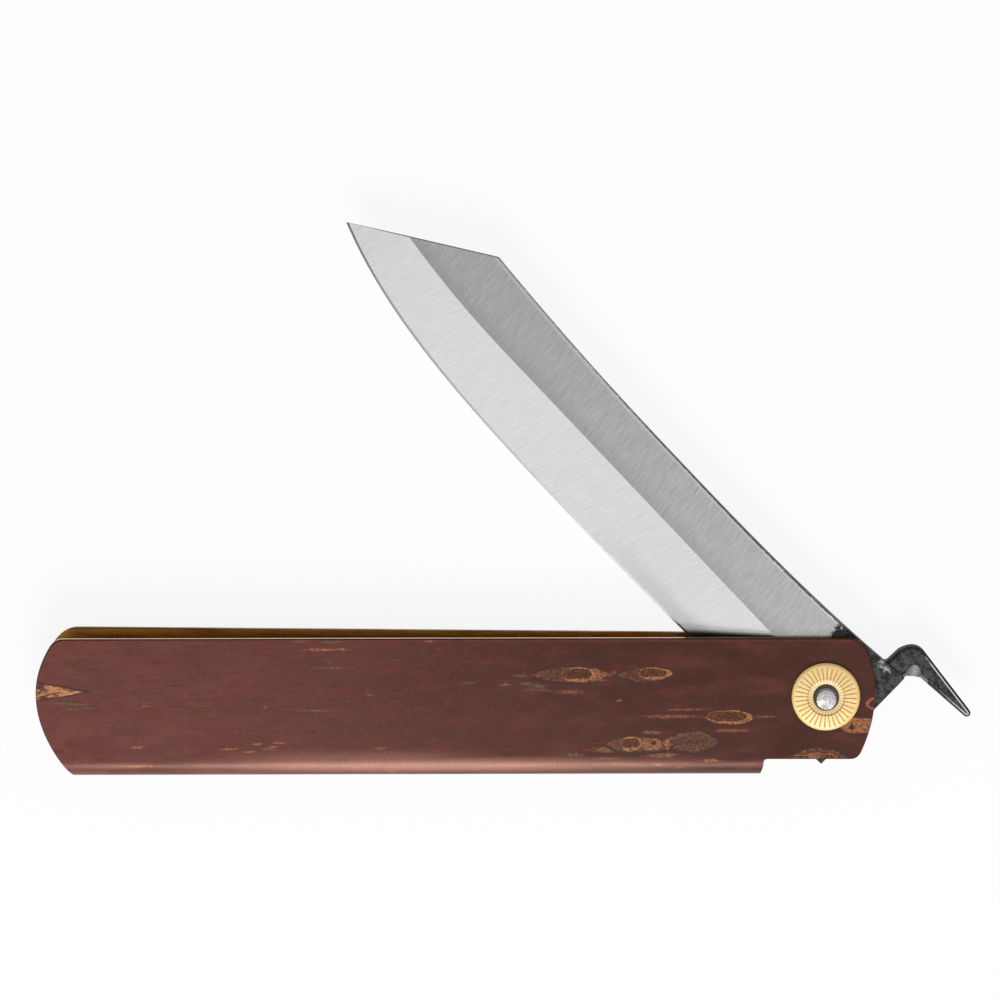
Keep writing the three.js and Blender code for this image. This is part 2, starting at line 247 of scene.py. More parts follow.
class Surface(Graph):
    """One material. Its place is the point on the knife in millimetres."""

    def __init__(self, name, metallic=0.0):
        self.material = bpy.data.materials.new(name)
        self.material.use_nodes = True
        super().__init__(self.material.node_tree)
        self.shader = self.nodes["Principled BSDF"]
        self.shader.inputs["Metallic"].default_value = metallic
        coordinates = self.nodes.new("ShaderNodeTexCoord")
        self.place = self.scaled(coordinates.outputs["Object"], (1 / MM, 1 / MM, 1 / MM))
        facing = self.nodes.new("ShaderNodeNewGeometry").outputs["True Normal"]
        self.facing = self.split(facing)

    def relief(self, height):
        """Bump from a height in millimetres."""
        node = self.nodes.new("ShaderNodeBump")
        node.inputs["Distance"].default_value = MM
        self.feed(node.inputs["Height"], height)
        self.feed(self.shader.inputs["Normal"], node.outputs[0])

    def finish(self, colour, roughness):
        self.feed(self.shader.inputs["Base Color"], colour)
        self.feed(self.shader.inputs["Roughness"], roughness)
        return self.material


# Bark marks lie on the sheet rolled flat: x along the handle, then y on the front, running on
# past the fold onto the rear. Each starts with its middle, and its half length and half height.
# Cork bodies, each with the power of its ends, pointed at 1 and blunt from 3, and its strength
CORK = [
    ((-36.9, 3.2), (5.4, 1.12), 1.9, 0.75),
    ((-25.8, 3.15), (4.1, 1.05), 1.9, 0.62),
    ((-13.7, -3.05), (4.9, 0.85), 1.2, 0.5),
    ((-19.2, -6.6), (3.9, 1.5), 2.6, 0.86),
    ((-26.6, -6.95), (4.9, 1.12), 2.8, 0.85),
    ((-1.2, -9.4), (5.0, 1.9), 2.0, 1.0),
    ((-93.0, -18.6), (4.9, 1.05), 1.5, 0.9),
    ((-70.5, -24.4), (6.6, 1.35), 1.9, 1.0),
    ((-43.0, -17.0), (3.8, 0.95), 1.5, 0.85),
    ((-25.0, -26.6), (5.8, 1.25), 1.7, 0.95),
]
# Bare orange wood, with the same two numbers
WOOD = [
    ((-24.95, -6.95), (1.65, 0.88), 3.0, 0.8),
    ((-22.62, -6.8), (0.46, 0.86), 2.0, 1.0),
    ((-33.6, 3.25), (2.7, 0.95), 2.0, 0.75),
    ((4.9, -4.2), (2.9, 1.1), 5.0, 1.0),
    ((-1.4, -9.6), (3.4, 1.5), 2.0, 0.8),
    ((-69.0, -24.5), (2.4, 0.85), 2.6, 0.85),
    ((-90.0, -18.5), (2.4, 0.8), 2.0, 0.7),
]
# Ringed eyes, each with the power of its ends, where its heart ends and its ring's strength
EYES = [
    ((-35.4, 3.2), (2.45, 1.02), 2.8, 0.42, 1.0),
    ((-24.5, 3.35), (2.5, 0.86), 1.7, 0.4, 0.95),
    ((-13.8, -3.0), (3.4, 0.98), 1.8, 0.48, 0.95),
    ((-27.85, -6.88), (1.55, 1.0), 2.6, 0.4, 1.0),
    ((-3.5, -9.7), (1.9, 1.25), 2.4, 0.55, 0.8),
    ((0.5, -9.9), (1.35, 1.6), 2.4, 0.55, 0.9),
    ((-91.2, -18.5), (2.6, 0.85), 2.0, 0.5, 0.9),
    ((-72.6, -24.4), (2.2, 0.95), 2.6, 0.42, 1.0),
    ((-41.2, -17.0), (2.0, 0.75), 1.7, 0.5, 0.8),
    ((-23.0, -26.6), (2.8, 0.95), 2.2, 0.55, 0.9),
]
# Round pits, each with its middle and radius
PITS = [((-24.5, -6.75), 0.36), ((3.8, -4.45), 0.4)]
# The wedge at the tail and the ring at the pivot end
WEDGE = ((-113.4, 0.88), (7.7, 1.42), 1.05)
WEDGE_END_X = -107.0
WEDGE_ROT_X = -110.2
HALF_RING = ((7.4, -1.0), (1.8, 1.1), 2.2)
# Small dashes, in sets of one colour and strength
DASH_SETS = [
    ((46, 37, 33), 0.65, [
        ((-74.2, -2.4), (1.5, 0.2)), ((-44.5, 2.5), (1.6, 0.15)), ((-34.0, -5.9), (1.6, 0.15)),
        ((-66.0, -3.6), (1.2, 0.12)), ((-88.0, -3.1), (1.0, 0.12)), ((4.6, -5.75), (2.6, 0.22)),
        ((-80.0, -0.2), (1.6, 0.1)), ((-108.6, -0.6), (1.8, 0.3)), ((-106.4, -1.2), (2.0, 0.42)),
        ((-41.4, 1.3), (1.6, 0.46)), ((-43.0, 1.85), (1.2, 0.24)), ((-36.4, -8.3), (1.1, 0.26)),
    ]),
    ((182, 112, 76), 0.75, [
        ((-16.3, -9.3), (1.25, 0.2)), ((-20.9, -10.4), (0.45, 0.18)), ((-23.9, -9.9), (0.8, 0.18)),
        ((-98.3, -7.2), (0.85, 0.15)), ((-98.3, -9.97), (2.7, 0.15)), ((-72.2, 6.9), (1.9, 0.18)),
        ((-68.9, 6.95), (0.8, 0.15)), ((-85.4, -7.5), (1.1, 0.13)), ((-81.3, -6.8), (0.75, 0.13)),
        ((-78.3, -6.6), (0.9, 0.13)), ((-82.3, -7.9), (0.75, 0.13)), ((-79.1, -7.2), (0.7, 0.12)),
        ((-62.2, -10.9), (0.45, 0.15)), ((-56.7, 8.1), (0.6, 0.15)), ((-65.1, 0.33), (0.5, 0.13)),
        ((-105.0, -16.4), (1.2, 0.15)), ((-84.0, -27.8), (1.8, 0.15)), ((-52.0, -28.9), (1.0, 0.15)),
        ((-9.0, -19.0), (1.3, 0.17)), ((-29.6, -0.55), (0.35, 0.16)), ((-62.0, -17.0), (1.4, 0.14)),
    ]),
    ((176, 106, 74), 0.5, [
        ((-36.6, 0.7), (1.6, 0.26)), ((-13.4, -4.95), (2.2, 0.24)), ((-22.0, -2.9), (3.8, 0.24)),
        ((-108.6, -7.7), (0.35, 0.13)), ((-97.1, -1.2), (0.6, 0.13)), ((-8.7, -2.95), (1.5, 0.16)),
        ((-79.6, -7.5), (0.9, 0.13)), ((-63.7, -7.4), (0.8, 0.15)), ((-42.2, 3.1), (2.4, 0.2)),
        ((-31.1, 3.2), (0.45, 0.3)), ((-30.2, 3.45), (0.4, 0.28)), ((-29.4, 3.0), (0.35, 0.32)),
        ((-31.5, -9.0), (1.6, 0.15)), ((-20.0, -1.9), (2.6, 0.12)), ((-58.0, -24.0), (2.2, 0.15)),
    ]),
    ((172, 132, 100), 0.5, [
        ((-45.9, 1.74), (0.75, 0.16)), ((-24.9, -5.2), (1.1, 0.24)), ((-31.2, -7.7), (2.1, 0.34)),
        ((-23.4, -8.5), (2.2, 0.3)), ((-30.0, -9.7), (1.1, 0.18)), ((-80.1, -1.4), (0.35, 0.14)),
        ((-60.0, -19.8), (1.4, 0.15)), ((-32.6, 2.4), (1.2, 0.12)),
    ]),
    ((112, 100, 82), 0.55, [
        ((-70.6, 8.0), (1.6, 0.14)), ((-75.0, 8.2), (1.2, 0.26)), ((-70.6, 4.25), (2.2, 0.14)),
        ((-73.0, -1.9), (2.2, 0.13)), ((-51.2, 2.04), (1.5, 0.12)), ((-42.7, 1.9), (1.0, 0.2)),
        ((-41.2, 1.5), (1.1, 0.26)), ((-40.3, 1.0), (0.9, 0.2)), ((-42.1, 1.05), (0.8, 0.18)),
        ((-108.8, -0.8), (1.2, 0.17)), ((-106.8, -1.0), (1.3, 0.22)), ((-105.4, -1.5), (0.9, 0.16)),
        ((-107.6, -1.65), (1.1, 0.18)), ((-33.0, -21.4), (1.6, 0.2)), ((-36.0, -8.4), (1.3, 0.24)),
    ]),
]

# Colours of the cork's broken rings, from a body's middle to its edge
CORK_RINGS = [
    (0.0, (48, 36, 32)), (0.14, (62, 42, 34)), (0.24, (92, 58, 42)), (0.34, (54, 36, 32)),
    (0.44, (112, 68, 48)), (0.54, (54, 35, 31)), (0.64, (118, 72, 50)), (0.74, (60, 38, 33)),
    (0.85, (130, 80, 55)), (0.94, (64, 41, 36)), (1.0, (44, 29, 29)),
]
CORK_SHADOW = tone(34, 22, 27)
CORK_DARK = tone(42, 33, 31)
CORK_FLECK = tone(150, 88, 56)


def oval(surface, place, at, half, ends):
    """How far out a place is in a pointed oval: 0 at its middle and 1 at its edge."""
    shift = (-at[0] / half[0], -at[1] / half[1], 0)
    near = surface.vector("MULTIPLY_ADD", place, (1 / half[0], 1 / half[1], 0), shift)
    x, y, _ = surface.split(surface.vector("ABSOLUTE", near))
    return surface.add(surface.math("POWER", x, ends), y)


def nearest(surface, place, marks):
    """How far out a place is in the nearest of some plain ovals."""
    closest = None
    for at, half in marks:
        shift = (-at[0] / half[0], -at[1] / half[1], 0)
        near = surface.vector("MULTIPLY_ADD", place, (1 / half[0], 1 / half[1], 0), shift)
        out = surface.vector("LENGTH", near)
        closest = out if closest is None else surface.math("MINIMUM", closest, out)
    return closest


def cork(surface, place, colour, wavy, mottle, mark):
    """A dim oval of broken rings, with a dark outline that is widest along its lower side."""
    at, half, ends, strength = mark
    out = oval(surface, place, at, half, ends)
    below = oval(surface, place, (at[0], at[1] - 0.1), (half[0] + 0.25, half[1] + 0.08), ends)
    shadow = surface.band(below, 0.74, 0.94, 1.06, 1.26)
    colour = surface.mix(surface.both(shadow, min(1.0, 1.15 * strength)), colour, CORK_SHADOW)
    stops = [(level, tone(*shade)) for level, shade in CORK_RINGS]
    rings = surface.ramp(surface.add(out, wavy), stops)
    rings = surface.mix(surface.rise(mottle, 0.49, 0.6, 0.0, 0.85), rings, CORK_DARK)
    rings = surface.mix(surface.rise(mottle, 0.43, 0.34, 0.0, 0.7), rings, CORK_FLECK)
    return surface.mix(surface.rise(out, 1.06, 0.96, 0.0, strength), colour, rings)


def eye_shape(surface, near, ends):
    """How far out a place is in an eye, from its place as shares of the eye's halves."""
    x, y, _ = surface.split(surface.vector("ABSOLUTE", near))
    return surface.add(surface.math("POWER", x, ends), surface.both(y, y))


def eye_colours(surface, grain, mottle):
    """The colours of an eye's heart and of its ring."""
    heart = surface.mix(grain, tone(26, 9, 6), tone(126, 54, 16))
    heart = surface.mix(surface.rise(mottle, 0.5, 0.6, 0.0, 0.8), heart, tone(32, 22, 18))
    return heart, surface.mix(grain, tone(138, 80, 48), tone(196, 134, 88))


def eye(surface, place, colour, colours, mottle, mark):
    """A pale, patchy ring round a dark, streaked heart."""
    at, half, ends, reach, shown = mark
    near = surface.scaled(surface.vector("SUBTRACT", place, (*at, 0)), (1 / half[0], 1 / half[1], 0))
    out = eye_shape(surface, near, ends)
    within = eye_shape(surface, surface.vector("ADD", near, (0.07, -0.12, 0)), 1.7 * ends)
    patchy = surface.rise(mottle, 0.6, 0.46, 0.3 * shown, shown)
    outline = surface.both(surface.band(out, 0.9, 1.02, 1.1, 1.35), patchy)
    colour = surface.mix(surface.both(outline, 0.7), colour, tone(44, 31, 32))
    heart, rim = colours
    colour = surface.mix(surface.rise(out, 1.08, 0.98), colour, heart)
    colour = surface.mix(surface.rise(out, 0.5, 0.1, 0.0, 0.45), colour, tone(34, 22, 18))
    outer = surface.band(within, reach - 0.18, reach - 0.12, reach - 0.04, reach + 0.04)
    colour = surface.mix(outer, colour, tone(48, 22, 12))
    inner = surface.band(within, reach - 0.3, reach - 0.24, reach - 0.2, reach - 0.14)
    inner = surface.both(inner, surface.rise(mottle, 0.56, 0.44))
    colour = surface.mix(surface.both(inner, 0.35), colour, tone(150, 92, 58))
    ring = surface.both(surface.rise(within, reach - 0.04, reach + 0.08), surface.rise(out, 1.08, 0.98))
    patchy = surface.both(patchy, surface.rise(surface.split(near)[0], -1.0, -0.1, 0.35, 1.0))
    return surface.mix(surface.both(ring, patchy), colour, rim)


def wood_colour(surface, grain, mottle):
    """Orange wood with brown streaks."""
    bare = surface.mix(grain, tone(112, 62, 38), tone(188, 124, 82))
    return surface.mix(surface.rise(mottle, 0.48, 0.62, 0.0, 0.8), bare, tone(84, 44, 30))


def wood(surface, place, colour, bare, mark):
    """An oval of bare wood with a dark outline."""
    at, half, ends, strength = mark
    out = oval(surface, place, at, half, ends)
    shadow = surface.both(surface.band(out, 0.8, 1.0, 1.08, 1.3), 0.45 * strength)
    colour = surface.mix(shadow, colour, tone(44, 29, 30))
    return surface.mix(surface.rise(out, 1.04, 0.9, 0.0, strength), colour, bare)


def worn_end(surface, place, colour, grain, mottle):
    """The pale wedge where the outer bark has come away at the tail."""
    x, _, _ = surface.split(place)
    out = oval(surface, place, *WEDGE)
    colour = surface.mix(surface.band(out, 0.84, 1.0, 1.04, 1.2), colour, tone(44, 30, 31))
    bare = surface.mix(grain, tone(154, 94, 60), tone(208, 150, 104))
    holes = surface.noise(surface.scaled(place, (0.55, 1.6, 1)), detail=4, roughness=0.6)
    bare = surface.mix(surface.rise(holes, 0.52, 0.6, 0.0, 0.9), bare, tone(84, 50, 38))
    rotten = surface.rise(x, WEDGE_ROT_X, WEDGE_ROT_X - 1.4)
    rotten = surface.both(rotten, surface.rise(holes, 0.46, 0.54, 0.0, 0.9))
    bare = surface.mix(rotten, bare, tone(66, 50, 46))
    thin_end = surface.rise(x, WEDGE_END_X, WEDGE_END_X + 1.4, 0.0, 0.7)
    bare = surface.mix(thin_end, bare, tone(150, 92, 74))
    return surface.mix(surface.rise(out, 1.0, 0.92), colour, bare)


def half_ring(surface, place, colour, mottle):
    """The small broken ring at the pivot end's edge."""
    out = oval(surface, place, *HALF_RING)
    colour = surface.mix(surface.rise(out, 1.15, 1.0), colour, tone(44, 29, 30))
    edge = surface.band(out, 0.5, 0.66, 0.84, 0.96)
    shown = surface.both(edge, surface.rise(mottle, 0.7, 0.4, 0.4, 1.0))
    return surface.mix(shown, colour, tone(164, 96, 58))


def sheet_place(surface):
    """Places on the bark rolled flat, in millimetres: y runs on past the fold onto the rear,
    and z is how far round the fold a place has left a wall's outer face."""
    x, y, z = surface.split(surface.place)
    front = surface.math("GREATER_THAN", z, MID_Z)
    behind = surface.math("SUBTRACT", 2 * FOLD_Y, y)
    from_middle = surface.math("ABSOLUTE", surface.math("SUBTRACT", z, MID_Z))
    face = surface.math("MULTIPLY_ADD", x, -WALL_TAPER, WALL_HALF)
    around = surface.math("MAXIMUM", surface.math("SUBTRACT", face, from_middle), 0.0)
    return surface.joined(x, surface.blend(front, behind, y), around)


# Kinds of noise in the bark, each with its fineness, detail and roughness
BARK_NOISE = {
    "broad": ((0.04, 0.12, 0.12), 2, 0.55),
    "cloud": ((0.14, 0.36, 0.36), 3, 0.6),
    "redder": ((0.11, 0.34, 0.34), 4, 0.65),
    "streak": ((0.35, 3.2, 3.2), 4, 0.65),
    "fine": ((1.0, 7.5, 7.5), 3, 0.7),
    "crossing": ((5.5, 0.7, 2.5), 3, 0.7),
}


def bark_clouds(surface, along, cloud, redder):
    """Broad red and brown clouds on a ground that darkens towards the pivot."""
    colour = surface.mix(surface.rise(along, *BARK_REDDENS_X), tone(104, 56, 51), tone(50, 8, 9))
    colour = surface.mix(surface.rise(along, 8.0, 18.0, 0.0, 0.3), colour, tone(74, 36, 32))
    colour = surface.mix(surface.rise(cloud, 0.42, 0.64, 0.0, 0.44), colour, tone(62, 28, 26))
    colour = surface.mix(surface.rise(redder, 0.48, 0.64, 0.0, 0.5), colour, tone(93, 34, 34))
    return colour


def bark_grain(surface, colour, streak, fine, crossing):
    """Faint lengthwise grain and fainter threads across it, each both lighter and darker."""
    colour = surface.mix(surface.rise(streak, 0.5, 0.28, 0.0, 0.5), colour, tone(36, 18, 18))
    colour = surface.mix(surface.rise(streak, 0.58, 0.76, 0.0, 0.45), colour, tone(138, 76, 62))
    colour = surface.mix(surface.rise(fine, 0.58, 0.78, 0.0, 0.5), colour, tone(146, 86, 72))
    colour = surface.mix(surface.rise(fine, 0.42, 0.24, 0.0, 0.55), colour, tone(30, 14, 15))
    colour = surface.mix(surface.rise(crossing, 0.54, 0.74, 0.0, 0.3), colour, tone(128, 76, 66))
    return surface.mix(surface.rise(crossing, 0.46, 0.26, 0.0, 0.36), colour, tone(34, 17, 17))


def painted_fold_highlight(surface, y, along, crossing):
    """How strongly a highlight is painted on the fold, and more softly beside it at the handle's
    middle.
    """
    from_fold = surface.math("ABSOLUTE", surface.math("SUBTRACT", y, FOLD_Y))
    wear_and_painted_highlight = surface.band(from_fold, *PAINTED_HIGHLIGHT_FROM_FOLD)
    wear_and_painted_highlight = surface.both(wear_and_painted_highlight, surface.band(along, *PAINTED_HIGHLIGHT_X))
    faint = surface.band(from_fold, *FAINT_PAINTED_HIGHLIGHT_FROM_FOLD)
    faint = surface.both(faint, surface.band(along, *FAINT_PAINTED_HIGHLIGHT_X))
    wear_and_painted_highlight = surface.either(wear_and_painted_highlight, surface.both(faint, 0.45))
    return surface.both(wear_and_painted_highlight, surface.rise(crossing, 0.3, 0.7, 0.76, 1.0))


def bark_ground(surface, sheet):
    """The bark between its marks: its colour, relief and roughness."""
    x, y, _ = surface.split(sheet)
    noise = {}
    for name, (factors, detail, roughness) in BARK_NOISE.items():
        noise[name] = surface.noise(surface.scaled(sheet, factors), detail, roughness)
    cloud, streak = noise["cloud"], noise["streak"]
    fine, crossing = noise["fine"], noise["crossing"]

    along = surface.math("MULTIPLY_ADD", noise["broad"], 30.0, x)
    plain = bark_clouds(surface, along, cloud, noise["redder"])
    colour = bark_grain(surface, plain, streak, fine, crossing)
    colour = surface.mix(surface.rise(along, *BARK_PLAIN_X, 0.0, 0.75), colour, plain)
    # Painted shadow round the washer, on the bark beside it
    from_pivot = surface.vector("LENGTH", surface.joined(surface.both(x, 0.97), y))
    painted_washer_shadow = surface.rise(from_pivot, WASHER_RADIUS + 1.1, WASHER_RADIUS - 0.1, 0.0, 0.75)
    colour = surface.mix(painted_washer_shadow, colour, tone(38, 16, 15))
    lip = surface.band(y, OPEN_Y - 0.55, OPEN_Y - 0.3, OPEN_Y, OPEN_Y + 1)
    lip = surface.both(lip, surface.rise(streak, 0.35, 0.6, 0.2, 0.7))
    colour = surface.mix(lip, colour, tone(104, 34, 31))
    wear_and_painted_highlight = painted_fold_highlight(surface, y, along, crossing)
    # Painted highlight along the fold
    colour = surface.mix(surface.both(wear_and_painted_highlight, 0.8), colour, tone(184, 132, 115))
    height = surface.both(surface.add(fine, crossing), 0.002)
    rough = surface.rise(surface.add(cloud, crossing), 0.75, 1.25, 0.34, 0.46)
    return colour, height, rough


def bark_marks(surface, sheet, colour):
    """The bark's colour with all its marks on it."""
    wavy = surface.noise(surface.scaled(sheet, (0.8, 2.0, 1)), detail=2)
    grain = surface.noise(surface.scaled(sheet, (1.1, 6.5, 1)), detail=4, roughness=0.6)
    wavy = surface.add(surface.both(wavy, 0.7), surface.both(grain, 0.2))
    wavy = surface.math("SUBTRACT", wavy, 0.45)
    grain = surface.rise(grain, 0.34, 0.66)
    mottle = surface.noise(surface.scaled(sheet, (2.2, 2.4, 1)), detail=3, roughness=0.6)
    place = surface.wandering(sheet, (0.5, 1.2, 1), (0.9, 0.55, 0))
    nearly = surface.wandering(sheet, (0.9, 2.0, 1), (0.6, 0.14, 0))

    broken = surface.rise(mottle, 0.62, 0.42, 0.25, 1.0)
    for shade, strength, marks in DASH_SETS:
        out = surface.math("MULTIPLY_ADD", grain, 0.9, nearest(surface, nearly, marks))
        mask = surface.both(surface.rise(out, 1.9, 0.9, 0.0, strength), broken)
        colour = surface.mix(mask, colour, tone(*shade))
    for mark in CORK:
        colour = cork(surface, place, colour, wavy, mottle, mark)
    bare = wood_colour(surface, grain, mottle)
    for mark in WOOD:
        colour = wood(surface, place, colour, bare, mark)
    colours = eye_colours(surface, grain, mottle)
    for mark in EYES:
        colour = eye(surface, place, colour, colours, mottle, mark)
    for at, radius in PITS:
        out = nearest(surface, place, [(at, (radius, radius))])
        colour = surface.mix(surface.rise(out, 1.1, 0.7), colour, tone(30, 20, 26))
    colour = worn_end(surface, place, colour, grain, mottle)
    return half_ring(surface, place, colour, mottle)


def bark():
    """Polished bark, with brown cut edges."""
    surface = Surface("cherry_bark")
    sheet = sheet_place(surface)
    colour, height, rough = bark_ground(surface, sheet)
    colour = bark_marks(surface, sheet, colour)
    rim = surface.rise(surface.math("ABSOLUTE", surface.facing[2]), 0.3, 0.1)
    rim = surface.both(rim, surface.math("GREATER_THAN", surface.split(surface.place)[1], FOLD_Y + 1))
    colour = surface.mix(surface.both(rim, 0.8), colour, tone(62, 32, 26))
    surface.relief(height)
    surface.shader.inputs["Specular IOR Level"].default_value = 0.6
    surface.shader.inputs["Specular Tint"].default_value = (1.0, 0.62, 0.48, 1)
    return surface.finish(colour, rough)


def scratches(surface, place, degrees, across, along):
    """Fine straight scratches that run at an angle to the blade's length."""
    turned = surface.turned(place, -degrees)
    return surface.noise(surface.scaled(turned, (along, across, 0.2)), detail=3, roughness=0.7)


def below_spine(surface, x, y):
    """How far a place on the folded blade is under its spine."""
    from_hollow = surface.math("SUBTRACT", x, SPINE_HOLLOW_X)
    to_root = surface.math("MAXIMUM", surface.both(from_hollow, 1 / SPINE_ROOT_LENGTH), 0.0)
    to_tip = surface.math("MAXIMUM", surface.both(from_hollow, -1 / SPINE_TIP_LENGTH), 0.0)
    spine = surface.both(surface.math("POWER", to_root, 3.0), SPINE_ROOT_RISE)
    spine = surface.math("MULTIPLY_ADD", surface.both(to_tip, to_tip), SPINE_TIP_RISE, spine)
    return surface.math("SUBTRACT", surface.add(spine, SPINE_HEIGHT), y)


def above_grind(surface, x, y):
    """How far a place on the folded blade is above the line between its flat and its bevel."""
    swept = surface.math("MAXIMUM", surface.math("SUBTRACT", GRIND_SWEEP_X, x), 0.0)
    share = surface.both(swept, 1 / GRIND_SWEEP_LENGTH)
    grind = surface.math("MULTIPLY_ADD", surface.both(share, share), GRIND_SWEEP, GRIND_HEIGHT)
    return surface.math("SUBTRACT", y, grind)


def flat_steel(surface, closed, x, y, above):
    """The flat, ground across, with a painted highlight line beside the spine."""
    flat_lines = scratches(surface, closed, 100, 5.5, 0.35)
    flat_fine = scratches(surface, closed, 98, 15.0, 1.2)
    flat_tone = surface.mix(surface.rise(flat_lines, 0.32, 0.68), grey(192), grey(217))
    flat_tone = surface.mix(surface.rise(flat_fine, 0.5, 0.8, 0.0, 0.5), flat_tone, grey(240))
    near_grind = surface.rise(above, 2.6, 0.0, 0.0, 0.35)
    flat_tone = surface.mix(near_grind, flat_tone, grey(166))
    # Painted highlight beside the spine
    painted_spine_highlight = surface.band(below_spine(surface, x, y), *SPINE_HIGHLIGHT)
    flat_tone = surface.mix(surface.both(painted_spine_highlight, 0.5), flat_tone, grey(244))
    return flat_tone, flat_lines, flat_fine


def bevel_steel(surface, closed, x, above, bevel):
    """The brighter bevel, ground at a slant, and how much of the dull cutting edge a place is."""
    bevel_lines = scratches(surface, closed, 74, 4.5, 0.3)
    bevel_fine = scratches(surface, closed, 76, 14.0, 1.0)
    bevel_tone = surface.mix(surface.rise(bevel_lines, 0.32, 0.68), grey(228), grey(239))
    bevel_tone = surface.mix(surface.rise(bevel_fine, 0.36, 0.2, 0.0, 0.5), bevel_tone, grey(205))
    to_heel = surface.both(surface.rise(x, *HEEL_X), surface.rise(above, *HEEL_BELOW_GRIND))
    bevel_tone = surface.mix(surface.both(to_heel, 0.5), bevel_tone, grey(182))
    edge = surface.both(surface.rise(surface.facing_up, 0.975, 0.95), bevel)
    bevel_tone = surface.mix(surface.both(edge, 0.95), bevel_tone, grey(58))
    return bevel_tone, bevel_lines, bevel_fine, edge


def ground_steel(surface, closed, x, y):
    """The blade's ground sides: their colour, relief and roughness."""
    above = above_grind(surface, x, y)
    bevel = surface.rise(above, 0.04, -0.04)
    flat_tone, flat_lines, flat_fine = flat_steel(surface, closed, x, y, above)
    bevel_tone, bevel_lines, bevel_fine, edge = bevel_steel(surface, closed, x, above, bevel)
    colour = surface.mix(bevel, flat_tone, bevel_tone)
    polish = surface.add(surface.blend(bevel, 0.27, 0.2), surface.both(edge, 0.35))
    lines = surface.blend(bevel, flat_lines, bevel_lines)
    fine = surface.blend(bevel, flat_fine, bevel_fine)
    height = surface.add(surface.both(lines, 0.004), surface.both(fine, 0.0015))
    return colour, height, polish


def forge_scale(surface, closed, x, y):
    """Dark forge scale, with painted shade on its steep faces: its colour, its relief, how much of it
    covers a place, and its clouds.
    """
    ragged = surface.noise(surface.scaled(closed, (0.8, 0.8, 0.8)), detail=5, roughness=0.7)
    forged = surface.rise(surface.math("MULTIPLY_ADD", ragged, 5.0, x), *FORGED_X)
    steep = surface.rise(surface.facing_up, 0.85, 0.6)
    spine = surface.rise(surface.facing_up, 0.985, 0.96)
    above_edge = surface.math("SUBTRACT", y, surface.rise(x, -96.0, -80.0, -3.2, 3.0))
    spine = surface.both(spine, surface.rise(above_edge, 0.0, 1.0, 0.0, 0.95))
    wide = surface.rise(x, -66.0, -16.0, 0.02, 0.26)
    corner = surface.math("SUBTRACT", below_spine(surface, x, y), wide)
    corner = surface.both(surface.rise(corner, 0.05, -0.03, 0.0, 0.9), surface.rise(y, 1.5, 3.0))
    cover = surface.either(forged, surface.either(spine, corner))
    cloud = surface.noise(surface.scaled(closed, (1.3, 1.3, 1.3)), detail=5, roughness=0.65)
    speck = surface.noise(surface.scaled(closed, (5.0, 5.0, 5.0)), detail=3, roughness=0.7)
    colour = surface.mix(surface.rise(cloud, 0.36, 0.62), grey(46), tone(84, 86, 86))
    colour = surface.mix(surface.rise(speck, 0.56, 0.74, 0.0, 0.6), colour, grey(128))
    colour = surface.mix(surface.rise(speck, 0.42, 0.28, 0.0, 0.6), colour, grey(32))
    # Painted shade on the scale's steep faces, such as the lever's chamfers
    colour = surface.mix(surface.both(steep, 0.65), colour, grey(34))
    pitted = surface.math("MULTIPLY_ADD", speck, 0.35, cloud)
    height = surface.math("MULTIPLY_ADD", pitted, 0.16, -0.108)
    return colour, height, cover, cloud


def lever_wear_and_painted_highlight(surface, closed, x, y, cloud):
    """Where the lever's scale is worn or ground off, and painted highlights along its arm's outer
    chamfer and its rounded edges.
    """
    steep = surface.rise(surface.facing_up, 0.85, 0.75)
    # Painted highlight along the arm's outer chamfer
    arm_top = surface.both(surface.rise(x, *LEVER_ARM_X), surface.rise(y, *LEVER_ARM_Y))
    height = surface.math("ABSOLUTE", surface.math("SUBTRACT", surface.split(surface.place)[2], MID_Z))
    arm_top = surface.both(arm_top, surface.rise(height, *LEVER_ARM_Z))
    arm = surface.both(steep, arm_top)
    # Worn edges with painted highlights where the lever's faces round over
    edges = surface.band(surface.facing_up, 0.76, 0.84, 0.94, 0.985)
    edges = surface.both(edges, surface.rise(cloud, 0.36, 0.6, 0.1, 0.6))
    neck = oval(surface, closed, LEVER_NECK, LEVER_NECK_HALF, 2.0)
    spot = surface.both(surface.rise(neck, 1.0, 0.2), surface.rise(cloud, 0.42, 0.62, 0.0, 0.6))
    wear_and_painted_highlight = surface.either(arm, spot)
    lever = surface.rise(x, *LEVER_X)
    return surface.either(wear_and_painted_highlight, surface.both(edges, lever))


